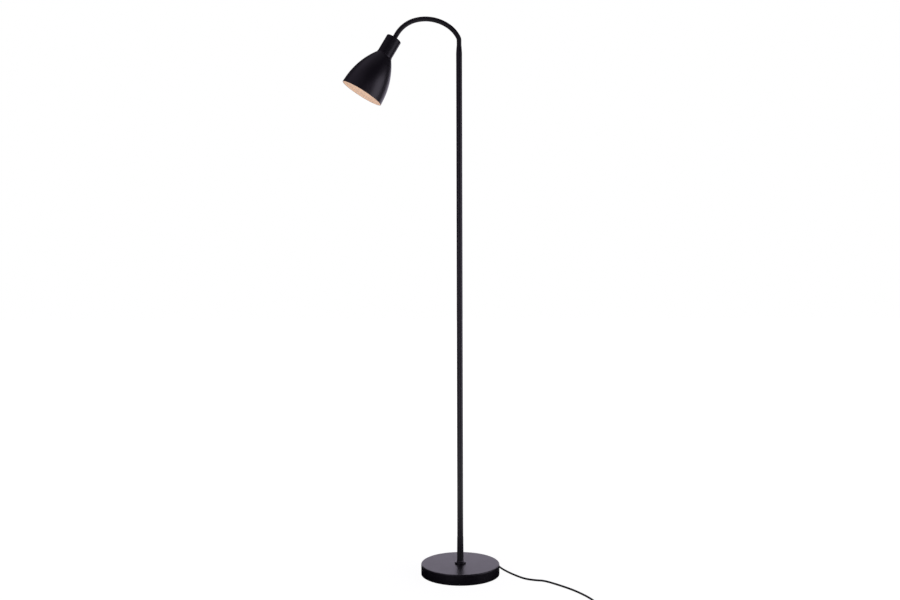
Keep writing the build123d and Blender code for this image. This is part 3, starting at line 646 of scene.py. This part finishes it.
# ---- Weight, bottom plate and pad ---------------------------------------------------
# Under the dish a grey iron casting gives the lamp its weight. A plated plate with
# three screws closes it, and a black rubber disc keeps the floor from scratches.
cast_iron = finish_of("sand cast iron", (0.12, 0.118, 0.122), 0.75, grain=900.0, bump=0.8,
                      depth=0.0006, metallic=0.6, mottle=(120.0, (0.17, 0.165, 0.16)))
zinc_plate = finish_of("zinc plated steel", (0.62, 0.63, 0.66), 0.32, grain=3000.0, bump=0.08,
                       metallic=1.0, mottle=(80.0, (0.55, 0.57, 0.62)))
pad_rubber = finish_of("black pad rubber", (0.014, 0.014, 0.015), 0.8, grain=2400.0, bump=0.5,
                       depth=0.0003, mottle=(300.0, (0.022, 0.022, 0.024)))
dress("base_weight", cast_iron)
for node in (
    "base_bottom_plate", "bottom_plate_screws", "stem_tube", "stem_washer", "stem_nut",
    "cord_clamp_screws", "pole_bushes", "pole_studs", "cup_nut", "neck_root_nipple",
    "neck_end_nipple",
):
    dress(node, zinc_plate)
dress("base_pad", pad_rubber)

# ---- Cord gland and clamp -----------------------------------------------------------
# A soft moulded gland with a ribbed, tapered tail carries the cord out of the dish.
# Inside, a saddle screwed to the casting takes any pull off the wires.
moulded = finish_of("moulded black plastic", (0.010, 0.010, 0.0115), 0.5, grain=1800.0,
                    bump=0.25, mottle=(50.0, (0.014, 0.014, 0.016)))
gland_head = 0.0060
gland_back = -0.0036
gland_catch = -0.0016
gland_groove = 0.00495
gland_flange = 0.0065
flange_height = 0.002
tail_tip = 0.0036
tail_end = 0.022
mouth_radius = 0.0026
mouth_floor = tail_end - 0.0015
tail_slots = 5
slot_pitch = (tail_end - flange_height) / (tail_slots + 0.7)
slot_height = 0.32 * slot_pitch
slot_depth = 0.0009
slot_edge = 0.0002
gland_points = [
    (0, gland_back),
    (gland_head, gland_back),
    (gland_head, gland_catch),
    (gland_groove, gland_catch),
    (gland_groove, 0),
    (gland_flange, 0),
    (gland_flange, flange_height),
]
for count in range(tail_slots):
    low = flange_height + slot_pitch * (count + 0.55)
    high = low + slot_height
    for height, inwards in (
        (low, 0), (low + slot_edge, slot_depth), (high - slot_edge, slot_depth), (high, 0)
    ):
        share = (height - flange_height) / (tail_end - flange_height)
        taper = (tail_tip - gland_flange) * share
        gland_points.append((gland_flange + taper - inwards, height))
gland_points += [
    (tail_tip, tail_end),
    (mouth_radius, tail_end),
    (mouth_radius, mouth_floor),
    (0, mouth_floor),
]
backwards = Matrix.Rotation(math.radians(-90), 4, "X")
gland = spun(
    "gland_tail",
    gland_points,
    around=48,
    finishes=[moulded],
    place=Matrix.Translation((0, base_radius, gland_height)) @ backwards,
)
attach(gland, "stand")
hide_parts("cord_gland")
dress("cord_clamp", moulded)

# ---- Lead in the pole ---------------------------------------------------------------
# The same black lead, without its outer jacket, goes on inside: through the clamp to the
# stem, round one bend there and up the pole to the neck.
lead_radius = 0.0021
lead_sides = 16
lead_bend = 0.005
bend_steps = 8
lead_start = 0.1014
neck_start = 1.419
lead_spots = [Vector((0, lead_start, gland_height))]
for step in range(bend_steps + 1):
    turn = math.radians(90) * step / bend_steps
    lead_spots.append(Vector((
        0,
        lead_bend * (1 - math.sin(turn)),
        gland_height + lead_bend * (1 - math.cos(turn)),
    )))
lead_spots.append(Vector((0, 0, neck_start)))


def drawn_wire(name, spots, radius, finish, around):
    """A round wire along a row of points, with closed ends."""
    shape = bmesh.new()
    rings = []
    side = Vector((1, 0, 0))
    for count, spot in enumerate(spots):
        way = spots[min(count + 1, len(spots) - 1)] - spots[max(count - 1, 0)]
        way.normalize()
        side = (side - way * side.dot(way)).normalized()
        across = way.cross(side)
        arms = [round_point(radius, step / around) for step in range(around)]
        rings.append([shape.verts.new(spot + side * arm.x + across * arm.y) for arm in arms])
    skin(shape, rings)
    for end in (rings[0], rings[-1]):
        shape.faces.new(end)
    bmesh.ops.recalc_face_normals(shape, faces=shape.faces)
    return piece_from(name, shape, [finish])


pole_lead = drawn_wire("pole_lead", lead_spots, lead_radius, jacket, around=lead_sides)
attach(pole_lead, "stand")
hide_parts("supply_lead")

# ---- Collar at the foot of the pole -------------------------------------------------
# A turned collar, coated with the pole. Its flange covers the hole in the dish, and
# its long slim sleeve tapers up to the tube.
pole_radius = 0.008
slip = 0.00005
collar_flange = 0.015
flange_top = base_top + 0.004
flange_edge = 0.001
sleeve_root = 0.0089
sleeve_fillet = 0.004
sleeve_tip = 0.00835
sleeve_top = base_top + 0.071
sleeve_edge = 0.0003
collar = spun(
    "foot_collar",
    rounded_outline([
        (pole_radius + slip, base_top, 0),
        (collar_flange, base_top, 0),
        (collar_flange, flange_top, flange_edge),
        (sleeve_root, flange_top, sleeve_fillet),
        (sleeve_tip, sleeve_top, sleeve_edge),
        (pole_radius + slip, sleeve_top, 0),
    ]),
    around=64,
    finishes=[powder_coat],
)
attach(collar, "stand")
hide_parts("pole_foot_collar")

# ---- Pole ---------------------------------------------------------------------------
# Three equal lengths of 16 mm steel tube, powder coated and screwed end to end. Each
# seam is a hairline between two broken edges.
pole_top = 1.397
pole_bore = 0.007
broken_edge = 0.0002
section_length = (pole_top - base_top) / 3
for count, node in enumerate(("pole_lower", "pole_middle", "pole_upper")):
    low = base_top + count * section_length
    high = low + section_length
    tube = spun(
        f"{node}_tube",
        [
            (pole_bore, low),
            (pole_radius - broken_edge, low),
            (pole_radius, low + broken_edge),
            (pole_radius, high - broken_edge),
            (pole_radius - broken_edge, high),
            (pole_bore, high),
            (pole_bore, low),
        ],
        around=64,
        finishes=[powder_coat],
    )
    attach(tube, "stand")
    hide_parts(node)

# ---- Ferrule ------------------------------------------------------------------------
# A turned cone screwed into the top of the pole, which takes the end of the neck. It
# is coated black, with a hairline where it meets the tube.
ferrule_bore = 0.00405
spigot_radius = 0.00697
spigot_length = 0.015
cone_foot = pole_top + 0.002
cone_fillet = 0.002
cone_tip = 0.0066
cone_edge = 0.0003
ferrule = spun(
    "neck_cone",
    rounded_outline([
        (ferrule_bore, pole_top - spigot_length, 0),
        (spigot_radius, pole_top - spigot_length, 0),
        (spigot_radius, pole_top, 0),
        (pole_radius, pole_top, broken_edge),
        (pole_radius, cone_foot, cone_fillet),
        (cone_tip, neck_start, cone_edge),
        (ferrule_bore, neck_start, 0),
    ]),
    around=64,
    finishes=[powder_coat],
)
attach(ferrule, "stand")
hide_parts("neck_ferrule")

# ---- Gooseneck ----------------------------------------------------------------------
# Round spring wire wound with a wedge wire between its turns, blackened. It stays
# where it is bent. The lamp's lead runs loose inside.
wound_wire = finish_of("blackened wire", (0.0036, 0.0028, 0.0046), 0.42, grain=3000.0,
                       bump=0.06, depth=0.0001, ior=1.4,
                       mottle=(300.0, (0.0052, 0.0042, 0.0064)))
neck_radius = 0.0065
wire_pitch = 0.0024
wire_depth = 0.0006
rings_per_turn = 8
neck_sides = 36
# the neck's bends from its foot on: each stretch's length, and its turn in degrees
neck_stretches = [
    (0.0130, 0.0), (0.0107, 28.2), (0.0392, 27.0), (0.0918, 48.3), (0.0654, 45.7), (0.0130, 0.0)
]
neck_length = sum(length for length, turn in neck_stretches)


def neck_frame(distance):
    """A matrix on the neck's centreline, with local Z along it and local X along +Y."""
    x, z, lean, left = 0.0, neck_start, 0.0, distance
    for length, turn in neck_stretches:
        step = min(left, length)
        bend = math.radians(turn) * step / length
        chord = step * math.sin(bend / 2) / (bend / 2) if bend else step
        x -= chord * math.sin(lean + bend / 2)
        z += chord * math.cos(lean + bend / 2)
        lean += bend
        left -= step
    x -= left * math.sin(lean)
    z += left * math.cos(lean)
    way = Vector((-math.sin(lean), 0, math.cos(lean)))
    across = Vector((0, 1, 0))
    axes = Matrix((across, way.cross(across), way)).transposed()
    return Matrix.Translation((x, 0, z)) @ axes.to_4x4()


def wire_height(turn):
    """How far the wound wire stands out, over one turn of the winding."""
    share = turn % 1.0
    if share > 0.5:
        share = 1.0 - share
    return wire_depth * math.sqrt(1 - (2 * share) ** 2)


def wound_stretch(name, low, high):
    """A stretch of the winding with the lead inside it."""
    shape = bmesh.new()
    steps = round((high - low) / wire_pitch * rings_per_turn)
    rings, lead = [], []
    for count in range(steps + 1):
        distance = low + (high - low) * count / steps
        spot = neck_frame(distance)
        ring = []
        for step in range(neck_sides):
            share = step / neck_sides
            radius = neck_radius - wire_depth + wire_height(distance / wire_pitch - share)
            ring.append(shape.verts.new(spot @ round_point(radius, share)))
        rings.append(ring)
        if count % rings_per_turn == 0 or count == steps:
            lead.append([
                shape.verts.new(spot @ round_point(lead_radius, step / lead_sides))
                for step in range(lead_sides)
            ])
    skin(shape, rings)
    skin(shape, lead, finish_number=1)
    return piece_from(name, shape, [wound_wire, jacket])


neck_joints = 9
first_pivot = 0.014
pivot_spacing = (neck_length - 2 * first_pivot) / (neck_joints - 1)
for count in range(neck_joints):
    first, last = count == 0, count == neck_joints - 1
    pivot = first_pivot + count * pivot_spacing
    near, far = pivot - pivot_spacing / 2, pivot + pivot_spacing / 2
    stretch = wound_stretch(
        f"gooseneck_stretch_{count + 1}", 0.0 if first else near, neck_length if last else far
    )
    neck_frame(far).translation
    neck_frame(near).translation
    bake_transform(stretch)
    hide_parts(f"gooseneck_link_{count + 1}")
    if first:
        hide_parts("neck_lead")
    if last:
        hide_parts("gooseneck_link_10")

# ---- Cup ----------------------------------------------------------------------------
# A drawn steel cup over the lampholder, coated darker and less reflective than the other coated
# parts.
# A nut inside clamps it to the end of the neck.
cup_coat = finish_of("darker black cup coat", (0.0026, 0.0020, 0.0038), 0.36, spread=0.05,
                     grain=2600.0, bump=0.05, depth=0.0001, ior=1.36)
head_frame = neck_frame(neck_length)
cup_radius = 0.0213
cup_length = 0.054
cup_edge = 0.0035
cup_sheet = 0.001
nipple_hole = 0.0053
cup = spun(
    "holder_cup",
    rounded_outline([
        (nipple_hole, 0, 0),
        (cup_radius, 0, cup_edge),
        (cup_radius, cup_length, 0),
        (cup_radius - cup_sheet, cup_length, 0),
        (cup_radius - cup_sheet, cup_sheet, cup_edge - cup_sheet),
        (nipple_hole, cup_sheet, 0),
    ]) + [(nipple_hole, 0)],
    around=96,
    finishes=[cup_coat],
    place=head_frame,
)
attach(cup, "head")
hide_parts("socket_cup")

# ---- Lampholder ---------------------------------------------------------------------
# A cream moulded lampholder with a brass screw shell and centre contact. Its notched
# ring screws up from below and holds the shade against the cup.
cream_moulding = finish_of("cream moulding", (0.78, 0.74, 0.62), 0.45, grain=1500.0, bump=0.2,
                           mottle=(70.0, (0.72, 0.68, 0.57)))
brass = finish_of("pressed brass", (0.72, 0.52, 0.22), 0.3, grain=2500.0, metallic=1.0,
                  mottle=(150.0, (0.62, 0.43, 0.17)))
dress("lampholder_body", cream_moulding)
dress("shade_ring", cream_moulding)
dress("lampholder_screw_shell", brass)
dress("lampholder_centre_contact", brass)

# ---- Shade --------------------------------------------------------------------------
# A spun steel bell, powder coated satin black outside and cream inside. A short collar
# at its neck goes round the cup's end, and the rim is turned over to a small bead.
cream_coat_and_painted_glow = finish_of("cream inside coat and painted glow", (0.78, 0.67, 0.55), 0.55, grain=1800.0, bump=0.05,
                       depth=0.0001, mottle=(12.0, (0.77, 0.66, 0.54)))
# painted light: the coat glows, more strongly deep in the bell than at its rim, in place of the
# globe's light on it
painted_glow_deep = (1.0, 0.80, 0.64)
painted_glow_at_rim = (0.52, 0.40, 0.31)
cream_nodes = cream_coat_and_painted_glow.node_tree.nodes
cream_shader = cream_nodes["Principled BSDF"].inputs
cream_place = cream_nodes.new("ShaderNodeSeparateXYZ")
feed(cream_place.inputs[0], cream_nodes.new("ShaderNodeTexCoord").outputs["Object"])
towards_rim = ramp(cream_nodes, cream_place.outputs["Z"], start=0.09, end=0.165)
painted_cream_glow = blend_of(cream_nodes, towards_rim, painted_glow_deep, painted_glow_at_rim)
feed(cream_shader["Emission Color"], painted_cream_glow)
feed(cream_shader["Emission Strength"], 0.38)
shade_length = 0.118
shade_sheet = 0.0008
shade_rim = 0.0596
shade_hole = 0.0143
shade_neck_inside = cup_radius + slip
shade_neck = shade_neck_inside + shade_sheet
shade_collar = 0.003
collar_edge = 0.0003
collar_fillet = 0.003
skirt_length = 0.016
skirt_slope = math.radians(4.0)
bell_steps = 40
skirt_steps = 8
bead = 0.0012
bead_start = -20
bead_turn = 220
bead_steps = 10
skirt_start = shade_length - skirt_length
skirt_radius = shade_rim - skirt_length * math.tan(skirt_slope)
# one arc from the neck to the skirt, which it meets without a kink
chord_run, chord_rise = skirt_start, skirt_radius - shade_neck
chord_lean = math.atan2(chord_rise, chord_run) - skirt_slope
bell_arc = math.hypot(chord_run, chord_rise) / (2 * math.sin(chord_lean))
arc_height = skirt_start + bell_arc * math.sin(skirt_slope)
arc_offset = skirt_radius - bell_arc * math.cos(skirt_slope)


def bell_points(wall):
    """The bell's outline from neck to rim, drawn in by the wall."""
    radius = bell_arc - wall
    top = math.asin((arc_height - wall) / radius)
    points = []
    for step in range(bell_steps + 1):
        angle = top + (skirt_slope - top) * step / bell_steps
        points.append((
            arc_offset + radius * math.cos(angle),
            cup_length + arc_height - radius * math.sin(angle),
        ))
    for step in range(1, skirt_steps + 1):
        reach = skirt_length * step / skirt_steps - (bead if step == skirt_steps else 0)
        points.append((
            skirt_radius - wall / math.cos(skirt_slope) + reach * math.tan(skirt_slope),
            cup_length + skirt_start + reach,
        ))
    return points


outside = bell_points(0.0)
inside = bell_points(shade_sheet)
bead_points = []
for step in range(bead_steps + 1):
    angle = math.radians(bead_start + bead_turn * step / bead_steps)
    bead_points.append((
        shade_rim - bead + bead * math.cos(angle),
        cup_length + shade_length - bead + bead * math.sin(angle),
    ))
collar_points = rounded_outline([
    (shade_neck_inside, cup_length - shade_collar, 0),
    (shade_neck, cup_length - shade_collar, collar_edge),
    (shade_neck, cup_length, collar_fillet),
    (*outside[1], 0),
])
outer_points = [
    (shade_hole, cup_length), (shade_neck_inside, cup_length), *collar_points, *outside[2:]
]
shade = spun(
    "bell_shade",
    outer_points + bead_points + inside[::-1] + [
        (shade_hole, cup_length + shade_sheet), (shade_hole, cup_length)
    ],
    around=160,
    finishes=[powder_coat, cream_coat_and_painted_glow],
    place=head_frame,
    split=len(outer_points) + bead_steps // 2,
)
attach(shade, "head")
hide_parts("shade")

# ---- Bulb ---------------------------------------------------------------------------
# A warm screw-in bulb, switched on: plated cap, white plastic body and an opal globe
# that glows evenly.
bulb_plastic = finish_of("bulb plastic", (0.82, 0.82, 0.80), 0.4, grain=1200.0, bump=0.08,
                         mottle=(60.0, (0.78, 0.78, 0.76)))
opal = finish_of("opal globe", (0.95, 0.90, 0.80), 0.35, grain=900.0, bump=0.03,
                 mottle=(30.0, (0.93, 0.87, 0.76)))
opal_shader = opal.node_tree.nodes["Principled BSDF"].inputs
feed(opal_shader["Emission Color"], (1.0, 0.78, 0.60))
feed(opal_shader["Emission Strength"], 1.0)
dress("bulb_cap", zinc_plate)
dress("bulb_body", bulb_plastic)
dress("bulb_globe", opal)

# ---- Foot switch --------------------------------------------------------------------
# A rounded two-part plastic case on the cord with one round button for the foot. A
# spring brings the button back, and a tapered tail guards the cord at each end.
for part in ("base", "cover", "contact_block", "boots"):
    dress(f"foot_switch_{part}", moulded)
button_plastic = finish_of("switch button plastic", (0.016, 0.016, 0.018), 0.35, grain=1500.0,
                           bump=0.12, mottle=(40.0, (0.020, 0.020, 0.023)))
dress("foot_switch_button", button_plastic)
spring_wire = 0.0004
spring_curls = 4
steps_in_curl = 24
spring_low, spring_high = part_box("foot_switch_spring")
spring_middle = (spring_low + spring_high) / 2
spring_foot = Vector((spring_middle.x, spring_middle.y, spring_low.z))
spring_height = spring_high.z - spring_low.z
spring_radius = (spring_high.x - spring_low.x) / 2 - spring_wire
spring_rise = (spring_height - 2 * spring_wire) / spring_curls
spring_spots = []
for step in range(spring_curls * steps_in_curl + 1):
    turn = step / steps_in_curl
    height = spring_wire + spring_rise * turn
    spring_spots.append(spring_foot + round_point(spring_radius, turn, height))
spring = drawn_wire("button_spring", spring_spots, spring_wire, zinc_plate, around=10)
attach(spring, "stand")
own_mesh(spring)
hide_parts("foot_switch_spring")
dress("foot_switch_screws", zinc_plate)

# ---- Plug ---------------------------------------------------------------------------
# A moulded two-pin mains plug with a tapered tail and plated brass pins, at the end of
# the coil.
dress("plug_body", moulded)
dress("plug_pins", zinc_plate)
